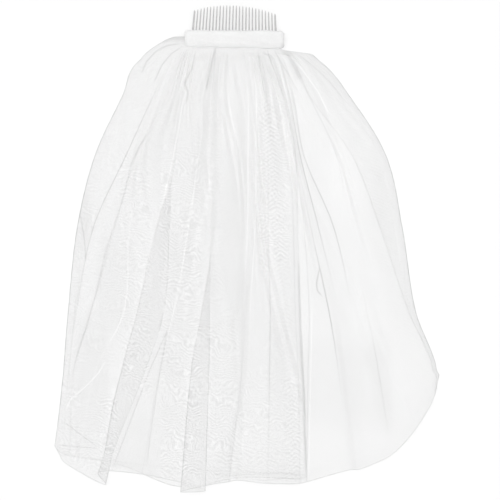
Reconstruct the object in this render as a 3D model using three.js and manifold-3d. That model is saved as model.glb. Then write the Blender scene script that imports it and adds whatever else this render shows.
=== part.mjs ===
// Bridal veil of soft tulle gathered into a cloth band on a clear hair comb.
// It lies on a flat surface as it was laid out: comb teeth towards +Y, hem towards -Y,
// +Z up from the surface. Sizes are in millimetres.
import * as THREE from 'three';
import Module from 'manifold-3d';

const manifoldKit = await Module();
manifoldKit.setup();
const { Manifold } = manifoldKit;

// ---- driving dimensions ----
const clothWall = 1.0;        // thickness of the tulle wall
const bandLength = 103;       // cloth band, end to end
const bandThick = 10;         // through all wrapped layers
const bandWall = 1.1;         // wall of the wrapped cloth
const bandX = -12.6;          // middle of the band
const bandLow = { left: 211.0, right: 209.1 };   // its lower edge runs a little askew
const bandTop = { left: 227.7, right: 227.3 };
const lipGap = 3.9;           // half height of the slots that the tulle passes through
const toothGap = 0.35;        // play round the teeth where they leave the band
const combTeeth = 26;
const toothPitch = 3.49;      // spacing of the teeth
const toothFirstX = -56.6;    // leftmost tooth
const toothBase = 1.9;        // width where a tooth leaves the spine
const toothTip = 1.3;         // width just under the rounded tip
const endToothBase = 2.9;     // the two outer teeth are stouter
const toothThick = 1.7;
const toothBow = 1.6;         // the tips rise this much above the spine
const toothRoot = 1.2;        // depth of a tooth's foot in the spine
const spineHigh = 4.2;
const spineThick = 2.2;
const spineLowY = 221;
const spineBevel = 0.5;
const topRowY = 220.2;        // gathered head of the tulle, inside the band
const firstStationY = 215;    // where the station distances start
const midZ = bandThick / 2;

// Distances down from the first station, one per column of the fold table.
const stations = [0, 17, 55, 118, 193, 281, 344, 470];

// Fold lines of the upper layer from the right edge to the left edge.
// x: place at each station, z: height of the cloth's middle at each station,
// gather: share of the small gathers carried by the cloth up to the next line.
const upperFolds = [
  { name: 'right strip ridge', x: [31, 54, 79, 103, 121, 141, 159, 174], z: [7.4, 12, 16, 18, 17, 14, 12, 9], gather: 1 },
  { name: 'right field valley', x: [27, 44, 59, 75, 89, 111, 125, 145], z: [7.4, 10, 11, 9, 8, 6.5, 6, 5], gather: 1 },
  { name: 'right field ridge', x: [23, 36, 49, 56, 70, 87, 97, 111], z: [7.4, 16, 22, 23, 21, 18, 15, 12], gather: 1 },
  { name: 'layer edge valley', x: [16, 26, 40, 49, 51, 54, 57, 62], z: [7.4, 11, 13, 12, 10, 8, 7.5, 7], gather: 1 },
  { name: 'centre right ridge', x: [4, 11, 12, 14, 19, 24, 25, 26], z: [7.4, 17, 24, 26, 24, 21, 18, 15], gather: 1 },
  { name: 'centre valley', x: [-9, -2, 2, 2, -1, -5, -8, -17], z: [7.4, 11, 14, 14, 12, 10, 8.6, 7.6], gather: 1 },
  { name: 'tongue pleat left edge', x: [-24, -21, -20, -18, -29, -46, -58, -69], z: [7.4, 17, 25, 26, 24, 21, 18, 15], gather: 0.6 },
  { name: 'tongue pleat right edge', x: [-32, -31, -31, -30, -31, -34, -37, -43], z: [7.4, 11, 15, 16, 15, 13, 11, 9.6], gather: 0.6 },
  { name: 'left centre ridge', x: [-40, -39, -45, -49, -60, -76, -91, -109], z: [7.4, 15, 22, 24, 21, 17.5, 14.5, 12.4], gather: 1 },
  { name: 'side pleat left edge', x: [-49, -51, -57, -67, -92, -114, -132, -154], z: [7.4, 14, 18, 21, 22, 19.5, 16.6, 13.6], gather: 0.5 },
  { name: 'side pleat right edge', x: [-53, -58, -68, -77, -80, -91, -109, -140], z: [7.4, 11, 13, 13.5, 13, 11.6, 9.6, 8.2], gather: 0.5 },
  { name: 'left field ridge', x: [-56, -70, -80, -112, -139, -162, -177, -183], z: [7.4, 15, 20, 21, 18, 14.5, 12, 10], gather: 1 },
  { name: 'left shoulder valley', x: [-59, -82, -99, -129, -163, -176, -184, -192], z: [7.4, 10, 12, 12, 10, 8.6, 8, 7.4], gather: 0.6 },
];

// Edges of the laid out cloth: the two side turns, the inner turn of the
// doubled back and the two free side edges that lie underneath.
const rightTurn = [35.2, 75, 108, 145, 163, 176, 199, 200];
const leftTurn = [-61, -114, -131, -159, -177.5, -187, -192, -201];
const innerTurn = [20, 28, 41, 52, 54, 57, 60, 63];
const rightFree = [30.8, 45, 66, 111, 140, 170, 190, 191];
const leftFree = [-52, -68, -84, -116, -138, -163, -176, -184];
const turnReach = [1.6, 5, 7, 8, 8, 7, 6, 6];  // how far a turn rounds back in

// Heights of the cloth's middle in the layers underneath.
const restZ = clothWall / 2;
const middleZ = 3.1;
const innerTurnZ = 1.75;
const heldZ = { lower: 2.6, middle: 5, upper: 7.4 };   // between the band's lips

// Outline of the hem of the upper layer, left to right.
const hemLine = [
  { x: -201, y: -206 }, { x: -192, y: -223 }, { x: -174, y: -235 }, { x: -154, y: -246 },
  { x: -147, y: -247 }, { x: -140, y: -233 }, { x: -126, y: -231 }, { x: -100, y: -238 },
  { x: -80, y: -245 }, { x: -70, y: -254.4 }, { x: -56, y: -254.8 }, { x: -42, y: -247 },
  { x: -11, y: -243 }, { x: 20, y: -246 }, { x: 52, y: -247 }, { x: 62, y: -242 },
  { x: 73, y: -244 }, { x: 94, y: -235 }, { x: 125, y: -229 }, { x: 147, y: -220 },
  { x: 168, y: -201 }, { x: 189, y: -173 }, { x: 199, y: -149 }, { x: 201, y: -143 },
];
const middleHemLift = 4;    // the layers underneath stop a little short of the upper hem
const lowerHemLift = 9;

// How far the cloth swells back past the band at its two ends.
const leftSwell = 15.5;
const rightSwell = 2;

// The cloth rises or sinks to its free height within this distance of the band.
const releaseReach = 14;
const releaseStart = 0.4;
const freeTop = 60;          // no free fold stands higher than this

const gatherDepth = 2.0;    // half height of the small gathers below the band
const gatherFade = 95;      // distance over which they run out
const headStep = 0.35;      // the part of the first step that lies inside the band
const rowSteps = [0, 0.18, 0.4, 0.65, 1, 1.3, 1.65, 2, 2.35, 2.7, 3, 3.35, 3.7, 4, 4.33,
  4.67, 5, 5.35, 5.7, 6, 6.3, 6.6, 6.85, 7];
const upperColumns = 4;     // columns between neighbouring fold lines
const underColumns = 3;

const clamp01 = (v) => Math.min(1, Math.max(0, v));
const smooth = (v) => clamp01(v) ** 2 * (3 - 2 * clamp01(v));
const mix = (a, b, t) => a + (b - a) * t;

// Smooth value of a station column at a fractional station number.
function along(column, step) {
  const k = Math.min(column.length - 2, Math.max(0, Math.floor(step)));
  const t = step - k;
  const slope = (i) => {
    const lo = Math.max(0, i - 1);
    const hi = Math.min(column.length - 1, i + 1);
    return (column[hi] - column[lo]) / (stations[hi] - stations[lo]);
  };
  const span = stations[k + 1] - stations[k];
  const a = column[k];
  const b = column[k + 1];
  return a * (1 + 2 * t) * (1 - t) ** 2 + slope(k) * span * t * (1 - t) ** 2
    + b * t * t * (3 - 2 * t) - slope(k + 1) * span * t * t * (1 - t);
}

function hemAt(x) {
  let i = 1;
  while (i < hemLine.length - 1 && hemLine[i].x < x) i += 1;
  const a = hemLine[i - 1];
  const b = hemLine[i];
  return mix(a.y, b.y, clamp01((x - a.x) / (b.x - a.x)));
}

// Place along the length of the cloth for one fold line at one row.
function rowY(step, hemY, swell) {
  const last = stations.length - 1;
  const s = along(stations, Math.min(step, last - 1));
  let y = firstStationY - s + swell * Math.sin(Math.PI * Math.sqrt(clamp01(step)));
  if (step < headStep) y = mix(topRowY, y, step / headStep);
  if (step > last - 1) y = mix(firstStationY - stations[last - 1], hemY, step - last + 1);
  return y;
}

// Highest place of the cloth along its length: inside the band it stays under the
// comb's spine, and it may swell back only past the band's left end.
function highestY(x, step) {
  const past = Math.max(0, bandX - bandLength / 2 + 1 - x);
  return topRowY - step + 1.5 * past;
}

// Share of its free height that the cloth has reached beside or below the band.
function release(x, y) {
  const below = bandLow.right - y;
  const beside = Math.max(bandX - bandLength / 2 - x, x - bandX - bandLength / 2);
  return smooth((Math.max(below, beside) - releaseStart) / releaseReach);
}

// One row of the cloth: guide points from the right free edge, under and round the
// right side, over the top, round the left side and back below to the left free edge.
function guideRow(step) {
  const list = [];
  const reach = along(turnReach, step);
  const add = (x, z, held, layer, swell, gather) => {
    const lift = layer === 'upper' ? 0 : layer === 'middle' ? middleHemLift : lowerHemLift;
    const y = rowY(step, hemAt(x) + lift, swell);
    list.push({ x, y, z: mix(held, z, release(x, y)), gather });
  };
  // The right half leaves through the lower edge before it spreads sideways.
  const spread = smooth((bandLow.right - rowY(step, 0, rightSwell)) / 6);
  const spreadX = (column) => mix(column[0], along(column, step), step > 3 ? 1 : spread);
  const right = spreadX(rightTurn);
  const left = along(leftTurn, step);
  const inner = spreadX(innerTurn);
  const rightEnd = spreadX(rightFree);
  const leftEnd = along(leftFree, step);
  const sideMid = (heldZ.lower + heldZ.upper) / 2;

  add(rightEnd, restZ, heldZ.lower, 'upper', rightSwell, 0);
  add(right - reach, restZ + 0.1, heldZ.lower, 'upper', rightSwell, 0);
  add(right, 2.9, sideMid, 'upper', rightSwell, 0);
  add(right - reach, 5.4, heldZ.upper, 'upper', rightSwell, 0.4);
  upperFolds.forEach((fold, i) => {
    const share = clamp01((i - 8) / 4);
    const x = i < 6 ? spreadX(fold.x) : along(fold.x, step);
    add(x, along(fold.z, step), heldZ.upper, 'upper', leftSwell * share ** 1.5, fold.gather);
  });
  add(left + reach, 7, heldZ.upper, 'upper', leftSwell, 0.3);
  add(left, 5, (heldZ.middle + heldZ.upper) / 2, 'upper', leftSwell, 0);
  add(left + reach, middleZ, heldZ.middle, 'middle', leftSwell, 0);
  for (const share of [0.25, 0.5, 0.75]) {
    const x = mix(left + reach, inner - reach, share);
    add(x, middleZ, heldZ.middle, 'middle', leftSwell * (1 - share) ** 3, 0);
  }
  add(inner - reach, middleZ, heldZ.middle, 'middle', 0, 0);
  add(inner, innerTurnZ, (heldZ.middle + heldZ.lower) / 2, 'middle', 0, 0);
  add(inner - reach, restZ, heldZ.lower, 'lower', 0, 0);
  for (const share of [0.33, 0.66, 1]) {
    const x = mix(inner - reach, leftEnd, share);
    add(x, restZ, heldZ.lower, 'lower', leftSwell * 0.5 * share ** 3, 0);
  }
  return list;
}

const upperStart = 3;
const upperEnd = upperStart + upperFolds.length + 1;

// Points of the cloth's middle surface, a row of them for each step down the veil.
function clothRows() {
  return rowSteps.map((step) => {
    const guide = guideRow(step);
    const curve = new THREE.CatmullRomCurve3(
      guide.map((g) => new THREE.Vector3(g.x, g.y, g.z)), false, 'centripetal');
    const row = [];
    for (let k = 0; k < guide.length - 1; k += 1) {
      const upper = k >= upperStart && k < upperEnd;
      const count = upper ? upperColumns : (k === 0 || k > upperEnd ? underColumns : 2);
      for (let c = 0; c < count; c += 1) {
        const t = c / count;
        const point = curve.getPoint((k + t) / (guide.length - 1));
        point.y = Math.min(point.y, highestY(point.x, step));
        const out = Math.max(0, bandLow.right - point.y);
        const gather = mix(guide[k].gather, guide[k + 1].gather, t) * (upper ? 1 : 0);
        const size = gatherDepth * smooth(out / 9) * (1 - smooth(out / gatherFade));
        point.z += gather * size * Math.sin(2 * Math.PI * t);
        const free = release(point.x, point.y);
        const lowest = mix(heldZ.lower, restZ, free);
        point.z = Math.min(mix(heldZ.upper, freeTop, free), Math.max(point.z, lowest));
        row.push(point);
      }
    }
    row.push(curve.getPoint(1));
    return row;
  });
}

// Closed shell of even thickness about the rows of middle points.
function shellFromRows(rows, wall) {
  const rowCount = rows.length;
  const columnCount = rows[0].length;
  const outer = [];
  const inner = [];
  for (let r = 0; r < rowCount; r += 1) {
    for (let c = 0; c < columnCount; c += 1) {
      const across = new THREE.Vector3().subVectors(
        rows[r][Math.min(c + 1, columnCount - 1)], rows[r][Math.max(c - 1, 0)]);
      const down = new THREE.Vector3().subVectors(
        rows[Math.min(r + 1, rowCount - 1)][c], rows[Math.max(r - 1, 0)][c]);
      const normal = new THREE.Vector3().crossVectors(down, across).normalize();
      outer.push(rows[r][c].clone().addScaledVector(normal, wall / 2));
      inner.push(rows[r][c].clone().addScaledVector(normal, -wall / 2));
    }
  }
  const points = [...outer, ...inner];
  const half = outer.length;
  const faces = [];
  const quad = (a, b, c, d) => faces.push(a, b, c, a, c, d);
  const at = (r, c) => r * columnCount + c;
  for (let r = 0; r < rowCount - 1; r += 1) {
    for (let c = 0; c < columnCount - 1; c += 1) {
      quad(at(r, c), at(r + 1, c), at(r + 1, c + 1), at(r, c + 1));
      quad(half + at(r, c), half + at(r, c + 1), half + at(r + 1, c + 1), half + at(r + 1, c));
    }
  }
  for (let r = 0; r < rowCount - 1; r += 1) {
    const e = columnCount - 1;
    quad(at(r, 0), half + at(r, 0), half + at(r + 1, 0), at(r + 1, 0));
    quad(at(r, e), at(r + 1, e), half + at(r + 1, e), half + at(r, e));
  }
  for (let c = 0; c < columnCount - 1; c += 1) {
    const e = rowCount - 1;
    quad(at(0, c), at(0, c + 1), half + at(0, c + 1), half + at(0, c));
    quad(at(e, c), half + at(e, c), half + at(e, c + 1), at(e, c + 1));
  }
  const geometry = new THREE.BufferGeometry();
  const numbers = points.flatMap((p) => [p.x, p.y, p.z]);
  geometry.setAttribute('position', new THREE.Float32BufferAttribute(numbers, 3));
  geometry.setIndex(faces);
  geometry.computeVertexNormals();
  return geometry;
}

// ---- solids joined and cut ----
function solidFromRings(rings) {
  const n = rings[0].length;
  const points = rings.flat();
  const faces = [];
  for (let r = 0; r < rings.length - 1; r += 1) {
    for (let i = 0; i < n; i += 1) {
      const j = (i + 1) % n;
      const a = r * n + i;
      const b = r * n + j;
      faces.push([a, b, b + n], [a, b + n, a + n]);
    }
  }
  for (let i = 1; i < n - 1; i += 1) {
    faces.push([0, i + 1, i]);
    const e = (rings.length - 1) * n;
    faces.push([e, e + i, e + i + 1]);
  }
  const mesh = new manifoldKit.Mesh({
    numProp: 3,
    vertProperties: new Float32Array(points.flat()),
    triVerts: new Uint32Array(faces.flat()),
  });
  mesh.merge();
  return new Manifold(mesh);
}

function geometryFromSolid(solid) {
  const mesh = solid.getMesh();
  const geometry = new THREE.BufferGeometry();
  const numbers = Array.from(mesh.vertProperties);
  geometry.setAttribute('position', new THREE.Float32BufferAttribute(numbers, 3));
  geometry.setIndex(Array.from(mesh.triVerts));
  geometry.computeVertexNormals();
  return geometry;
}

const ringSquare = 0.72;      // 1 is an oval, less is nearer to a rectangle

// Flattened oval ring across the band at one place along its length.
function bandRing(x, middleY, halfHigh, halfThick) {
  const ring = [];
  const count = 18;
  for (let i = 0; i < count; i += 1) {
    const a = (2 * Math.PI * i) / count;
    const c = Math.cos(a);
    const s = Math.sin(a);
    ring.push([x,
      middleY + halfHigh * Math.sign(c) * Math.abs(c) ** ringSquare,
      midZ + halfThick * Math.sign(s) * Math.abs(s) ** ringSquare]);
  }
  return ring;
}

// Shares of the band's full height and thickness at shares of its length.
const bandShape = [
  { along: 0, high: 0.86, thick: 0.8 }, { along: 0.02, high: 0.95, thick: 0.93 },
  { along: 0.07, high: 1, thick: 1 }, { along: 0.3, high: 0.98, thick: 1 },
  { along: 0.6, high: 1, thick: 1 }, { along: 0.9, high: 0.99, thick: 1 },
  { along: 0.97, high: 0.95, thick: 0.94 }, { along: 1, high: 0.72, thick: 0.6 },
];

function pouch(shrink, startX, endX) {
  return solidFromRings(bandShape.map((row) => {
    const low = mix(bandLow.left, bandLow.right, row.along);
    const top = mix(bandTop.left, bandTop.right, row.along);
    return bandRing(mix(startX, endX, row.along), (low + top) / 2,
      ((top - low) / 2) * row.high - shrink, (bandThick / 2) * row.thick - shrink);
  }));
}

function box(x0, x1, y0, y1, z0, z1) {
  return Manifold.cube([x1 - x0, y1 - y0, z1 - z0]).translate([x0, y0, z0]);
}

function spineEnds() {
  return {
    left: toothFirstX - endToothBase / 2,
    right: toothFirstX + toothPitch * (combTeeth - 1) + endToothBase / 2,
  };
}

function bandSolid() {
  const x0 = bandX - bandLength / 2;
  const x1 = bandX + bandLength / 2;
  const skin = pouch(0, x0, x1);
  const hollow = pouch(bandWall, x0 + bandWall, x1 - bandWall);
  // The tulle comes out along the lower edge and at the left end.
  const slotLow = bandLow.right - 3;
  const lowSlot = box(x0 - 2, x1 - 2, slotLow, bandLow.left + 3, midZ - lipGap, midZ + lipGap);
  const endSlot = box(x0 - 2, x0 + 9, slotLow, bandTop.left - 2.6, midZ - lipGap, midZ + lipGap);
  const spine = spineEnds();
  const toothSlot = box(spine.left - 0.5, spine.right + 1.5, bandTop.right - 3.4, bandTop.left + 3,
    midZ - toothThick / 2 - toothGap, midZ + toothThick / 2 + toothGap);
  return skin.subtract(hollow).subtract(lowSlot).subtract(endSlot).subtract(toothSlot);
}

// Width of a tooth at shares of its length.
const toothTaper = [
  { up: 0, wide: 1 }, { up: 0.35, wide: 0.88 }, { up: 0.7, wide: 0.76 },
  { up: 0.94, wide: toothTip / toothBase }, { up: 1, wide: 0.3 },
];

// The tips follow a low arch that drops towards the right end.
function toothTipY(share) {
  return 254.7 - 20 * (share - 0.45) ** 2 - 3.2 * share ** 3 - 1.4 * (1 - share) ** 6;
}

// One tapered tooth with a rounded tip, leaning and bowed a little.
function tooth(index) {
  const share = index / (combTeeth - 1);
  const x = toothFirstX + toothPitch * index;
  const lean = mix(2.4, -0.8, share);
  const base = share === 0 || share === 1 ? endToothBase : toothBase;
  return solidFromRings(toothTaper.map((row) => {
    const ring = [];
    const y = mix(spineLowY + spineHigh - toothRoot, toothTipY(share), row.up);
    const halfThick = (toothThick / 2) * Math.min(1, row.wide * 1.25);
    for (let i = 0; i < 6; i += 1) {
      const a = (2 * Math.PI * (i + 0.5)) / 6;
      ring.push([x + lean * row.up + (base / 2) * row.wide * Math.cos(a), y,
        midZ + toothBow * row.up ** 2 - halfThick * Math.sin(a)]);
    }
    return ring;
  }));
}

function combSolid() {
  const ends = spineEnds();
  const spine = solidFromRings([ends.left, ends.right].map((x) => {
    const cut = spineBevel;
    const low = spineLowY;
    const high = spineLowY + spineHigh;
    const under = midZ - spineThick / 2;
    const over = midZ + spineThick / 2;
    return [[x, low + cut, under], [x, high - cut, under], [x, high, under + cut],
      [x, high, over - cut], [x, high - cut, over], [x, low + cut, over],
      [x, low, over - cut], [x, low, under + cut]];
  }));
  const parts = [spine];
  for (let i = 0; i < combTeeth; i += 1) parts.push(tooth(i));
  return Manifold.union(parts);
}

const group = new THREE.Group();
group.name = 'tulle_veil';

function addPiece(name, geometry, colour) {
  const material = new THREE.MeshStandardMaterial({ color: colour, roughness: 0.6, metalness: 0 });
  material.name = name;
  const mesh = new THREE.Mesh(geometry, material);
  mesh.name = name;
  group.add(mesh);
}

addPiece('comb', geometryFromSolid(combSolid()), 0xdfe2e4);
addPiece('band', geometryFromSolid(bandSolid()), 0xf4f3ef);
addPiece('tulle', shellFromRows(clothRows(), clothWall), 0xf7f7f5);

export default group;
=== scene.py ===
import math
import bpy
import numpy as np
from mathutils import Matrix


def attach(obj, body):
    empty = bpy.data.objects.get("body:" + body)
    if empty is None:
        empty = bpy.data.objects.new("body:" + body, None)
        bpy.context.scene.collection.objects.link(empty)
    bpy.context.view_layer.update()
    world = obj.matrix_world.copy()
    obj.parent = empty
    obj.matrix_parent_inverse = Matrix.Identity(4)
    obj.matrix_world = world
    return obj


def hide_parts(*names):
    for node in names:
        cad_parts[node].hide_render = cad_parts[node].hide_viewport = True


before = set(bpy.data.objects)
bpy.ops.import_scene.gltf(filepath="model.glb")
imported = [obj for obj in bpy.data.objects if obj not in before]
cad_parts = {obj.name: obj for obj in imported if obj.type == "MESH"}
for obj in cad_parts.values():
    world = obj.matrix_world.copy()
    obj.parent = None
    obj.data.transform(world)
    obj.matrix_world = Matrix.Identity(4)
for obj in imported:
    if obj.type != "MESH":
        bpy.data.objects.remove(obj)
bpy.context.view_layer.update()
mm = 0.001

# How the veil was laid out and photographed, straight from above.
view = {
    "pixelSize": 1.05,          # mm of the surface to one pixel of the photograph
    "centreColumn": 246.5,      # pixel over the frame's origin
    "centreRow": 248.3,
    "imageSide": 500,
    "cameraHeight": 2600,       # mm above the surface
}

light = {
    "floorWhite": 0.68,
    "floorRoughness": 0.9,
    "floorHalf": 6.0,           # metres from the middle to an edge
    "world": 0.28,
    "lamps": [                  # angle: degrees across the soft lamp; towards: where it stands
        {"name": "softTop", "strength": 2.53, "angle": 110, "towards": (0.1, 0.0, 1.0)},
        {"name": "softKey", "strength": 1.69, "angle": 60, "towards": (-0.45, 0.5, 0.75)},
    ],
    "bounces": 16,
}

# Wander of the gathers, the hem and the band's creases: each finer wave is weaker.
wander = {"waves": 5, "loss": 0.6, "gain": 1.6}


def noiseWave(x, seed, lowest=1.0):
    # smooth repeatable wander between about -1 and 1
    rng = np.random.default_rng(seed)
    total = np.zeros_like(x, dtype=float)
    weight = 0
    for k in range(wander["waves"]):
        share = 1 / (1 + wander["loss"] * k)
        total += share * np.sin(2 * math.pi * (lowest * (k + 1) * x + rng.random()))
        weight += share
    return total / weight * wander["gain"]


def smoothStep(v):
    v = np.clip(v, 0, 1)
    return v * v * (3 - 2 * v)


def mix(a, b, t):
    return a + (b - a) * t


def fromPhoto(column, row):
    # place on the surface, in mm, of a pixel of the photograph
    return np.stack([(np.asarray(column, dtype=float) - view["centreColumn"]) * view["pixelSize"],
                     (view["centreRow"] - np.asarray(row, dtype=float)) * view["pixelSize"]], axis=-1)


def grey(white):
    return (white, white, white, 1)


def newMaterial(name, roughness):
    material = bpy.data.materials.new(name)
    material.use_nodes = True
    shader = material.node_tree.nodes["Principled BSDF"]
    shader.inputs["Roughness"].default_value = roughness
    return material, material.node_tree, shader


def addNode(tree, kind, values=None, links=None, **settings):
    node = tree.nodes.new(kind)
    for key, value in settings.items():
        setattr(node, key, value)
    for key, value in (values or {}).items():
        node.inputs[key].default_value = value
    for key, source in (links or {}).items():
        tree.links.new(source, node.inputs[key])
    return node


def makeMesh(name, points, faces, materials, uv=None, smooth=True):
    mesh = bpy.data.meshes.new(name)
    mesh.from_pydata([tuple(p) for p in points], [], faces)
    if uv is not None:
        layer = mesh.uv_layers.new(name="cloth")
        loopVertex = np.zeros(len(mesh.loops), dtype=np.int32)
        mesh.loops.foreach_get("vertex_index", loopVertex)
        layer.data.foreach_set("uv", uv[loopVertex].astype(np.float32).ravel())
    for material in materials:
        mesh.materials.append(material)
    mesh.polygons.foreach_set("use_smooth", [smooth] * len(mesh.polygons))
    mesh.update()
    piece = bpy.data.objects.new(name, mesh)
    bpy.context.collection.objects.link(piece)
    return piece


# The cloth of the veil. Sizes in mm; x is across, y towards the comb, z up.
veil = {
    "flatWidth": 1080,
    "flatLength": 485,
    "cutArea": 0.504,           # square metres, with the rounded corners
    "stations": [0, 17, 55, 118, 193, 281, 344, 470],   # distances down from the band
    "firstY": 215,
    "topY": 220.2,
    "headStep": 0.35,           # the part of the first step inside the band
    "rows": 176,
    "crowding": 1.35,           # rows stand closer near the band, by this power
    "crowdedShare": 0.62,
    "columns": {"strip": 14, "turn": 6, "rightUpper": 14, "afterTurn": 16, "under": 18, "inner": 4},
    "restZ": 0.5,               # heights of the layers and of their turns
    "middleZ": 3.1,
    "innerTurnZ": 1.75,
    "stripZ": 0.6,
    "rightTurnZ": 2.9,
    "rightUpperZ": 5.4,
    "leftUpperZ": 7,
    "leftTurnZ": 5,
    "heldLower": 2.6,           # heights of the layers where the band holds them
    "heldMiddle": 5.0,
    "heldUpper": 7.4,
    "releaseStart": 0.4,        # from here beside or below the band they find their own height
    "releaseReach": 14,
    "freeZ": 60,                # no limit to the height, away from the band
    "middleLift": 4,            # the under layers end higher than the upper one
    "lowerLift": 9,
    "hemBumps": 0.9,
    "bumpLength": 110,
    "bumpSeed": 14,
    "leftSwell": 11.5,          # how far the cloth swells back beside the band
    "rightSwell": 6.5,
    "swellAfter": 12,           # the left folds that swell back come after this one
    "swellFolds": 5,
    "swellCurve": 1.5,
    "swellSlope": 1.5,          # the steepest that the swell may rise from the band's end
    "swellInside": 1,
    "spreadFolds": 9,           # these folds, from the right, spread below the band only
    "spreadReach": 6,
    "spreadStation": 3,
    "stripLeast": 0.6,
    "rightGather": 0.4,         # share of the small gathers at the sides and in the under layers
    "leftGather": 0.3,
    "middleGather": 0.35,
    "lowerGather": 0.2,
    "sideLine": 0.45,           # pinched net along the side turns, its threads darkened there as painted shade
    "innerLine": 0.15,          # and along the turn of the doubled back
    "spreadPercent": 88,        # this many rows in a hundred are narrower than the flat cloth
}

# Fold lines of the upper layer from right to left. x and z: place and height at each
# station, line: how dense the pinched net shows along the fold there, its threads darkened
# as painted shade (below 0 made paler instead, a painted highlight), gather: share of the
# small gathers on the cloth that follows, columns: mesh columns up to the next line.
upperFolds = [
    {"name": "rightStripRidge", "gather": 0.7, "columns": 16,
     "line": [0, 0, 0, 0, 0, 0, 0, 0],
     "x": [33, 55, 79, 103, 121, 141, 159, 174], "z": [7.4, 12, 16, 18, 17, 14, 12, 9]},
    {"name": "rightCrease", "gather": 0.6, "columns": 16,
     "line": [0, 0.1, 0.2, 0.18, 0, 0.1, 0.18, 0],
     "x": [30.5, 47, 65, 94, 108, 126, 138, 152], "z": [7.4, 11, 13, 13, 12, 9, 9, 6.5]},
    {"name": "longStroke", "gather": 0.5, "columns": 14,
     "line": [0, 0.1, 0.15, 0.35, 0.4, 0, 0, 0],
     "x": [27.5, 38, 49, 60, 91, 111, 121, 130], "z": [7.4, 10, 12, 14, 13, 10, 8, 6.5]},
    {"name": "hookStroke", "gather": 0.5, "columns": 12,
     "line": [0, 0.1, 0.2, 0.45, 0.35, 0, 0, 0],
     "x": [24.5, 34, 44.6, 56, 75, 96, 104, 117], "z": [7.4, 13, 17, 17, 16, 13, 11, 9]},
    {"name": "fieldStroke", "gather": 0.5, "columns": 16,
     "line": [0, 0, 0.05, 0.1, 0.2, 0.5, 0.12, 0],
     "x": [21, 30, 40.4, 52, 67, 86, 96, 109], "z": [7.4, 15, 20, 21, 19, 17, 15, 12]},
    {"name": "edgeLine", "gather": 0.8, "columns": 14,
     "line": [0, 0, 0, 0.04, 0.15, 0.2, 0.2, 0.2],
     "x": [17, 26, 38, 49.6, 60, 65.6, 64.4, 63], "z": [7.4, 12, 15, 15, 13, 10, 9, 8]},
    {"name": "layerEdge", "gather": 1.0, "columns": 24,
     "line": [0, 0, 0, 0, 0.2, 0.15, 0.15, 0.15],
     "x": [12.5, 21, 34, 45, 49, 51, 54, 56], "z": [7.4, 11, 13, 12, 10.5, 8.4, 8, 7.5]},
    {"name": "darkCentreRight", "gather": 1.0, "columns": 22,
     "line": [0, 0.15, 0.15, 0.1, 0.15, 0.25, 0.25, 0.1],
     "x": [7, 13.5, 20.5, 22.6, 22.6, 24.7, 24, 22.6], "z": [7.4, 17, 24, 26, 24, 21, 18, 15]},
    {"name": "pleatRight", "gather": 1.0, "columns": 10,
     "line": [0, 0, -0.15, -0.2, -0.15, -0.1, 0, 0.1],
     "x": [1, 6.5, 10, 10, 9, 3.7, 1.6, -11], "z": [7.4, 15, 20, 21, 19, 16, 13.5, 11.5]},
    {"name": "pleatLeft", "gather": 0.5, "columns": 18,
     "line": [0, 0.1, -0.1, -0.2, -0.15, 0, 0.1, 0.15],
     "x": [-5.5, -1.5, 1.6, 1.6, 1, -3, -5, -18.4], "z": [7.4, 12, 15, 15.6, 13.4, 11, 9.6, 8.4]},
    {"name": "wedgeEdge", "gather": 0.9, "columns": 22,
     "line": [0, 0.1, -0.1, -0.1, 0, 0, 0, 0],
     "x": [-18, -20, -19, -10, -9, -14, -20, -32], "z": [7.4, 15, 21, 22, 19, 16, 13, 11.5]},
    {"name": "tongueLeft", "gather": 0.6, "columns": 10,
     "line": [0, 0, 0, 0, 0.1, 0.1, 0.2, 0.35],
     "x": [-25, -27, -29, -29, -33, -47, -58, -69], "z": [7.4, 17, 25, 26, 24, 21, 18, 15]},
    {"name": "tongueRight", "gather": 0.8, "columns": 22,
     "line": [0, 0.3, 0.1, 0, 0, 0.1, 0.2, 0.35],
     "x": [-31, -33, -36, -39, -38, -38, -39, -43], "z": [7.4, 11, 15, 16, 15, 13, 11, 9.6]},
    {"name": "brightRidge", "gather": 1.0, "columns": 16,
     "line": [0, 0, 0, 0, -0.15, -0.1, 0.1, 0.1],
     "x": [-37, -40, -46, -51, -60, -76, -91, -109], "z": [7.4, 15, 22, 24, 21, 17.5, 14.5, 12.4]},
    {"name": "sidePleatLeft", "gather": 0.5, "columns": 12,
     "line": [0, 0, 0, 0, -0.1, 0.1, 0.25, 0.3],
     "x": [-48, -52, -60, -70, -94, -114, -131, -155], "z": [7.4, 14, 18, 21, 22, 19.5, 16.6, 13.6]},
    {"name": "sidePleatRight", "gather": 0.8, "columns": 26,
     "line": [0, 0.2, 0.2, 0.1, 0.1, 0.2, 0.25, 0.35],
     "x": [-52.5, -58, -67, -77, -80, -86, -106, -147], "z": [7.4, 11, 13, 13.5, 13, 11.6, 9.6, 8.2]},
    {"name": "slantEdge", "gather": 0.9, "columns": 24,
     "line": [0, 0, 0, 0, -0.1, -0.2, -0.1, 0],
     "x": [-55.5, -68, -79, -107, -122, -128, -158, -177], "z": [7.4, 15, 20, 20, 17, 14, 11.5, 10]},
    {"name": "shoulderFold", "gather": 0.5, "columns": 22,
     "line": [0, 0, 0.2, 0.4, 0.3, 0.15, 0, 0],
     "x": [-58.5, -78, -97, -126, -160, -178, -186, -193], "z": [7.4, 10, 12, 12, 11, 9.4, 8.4, 7.6]},
]

# Turns and free edges, at each station.
sides = {
    "rightTurn": [35.2, 75, 108, 146.5, 163.5, 177.5, 199.8, 199.8],
    "leftTurn": [-61, -111, -130, -159, -177.5, -187, -192, -201],
    "innerTurn": [20, 28, 41, 52, 54, 57, 60, 63],
    "rightFree": [30.8, 45, 66, 111, 140, 170, 196, 198],
    "leftFree": [-52, -68, -84, -116, -138, -163, -181, -186],
    "turnReach": [1.6, 5, 7, 8, 8, 7, 6, 6],
}

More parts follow.
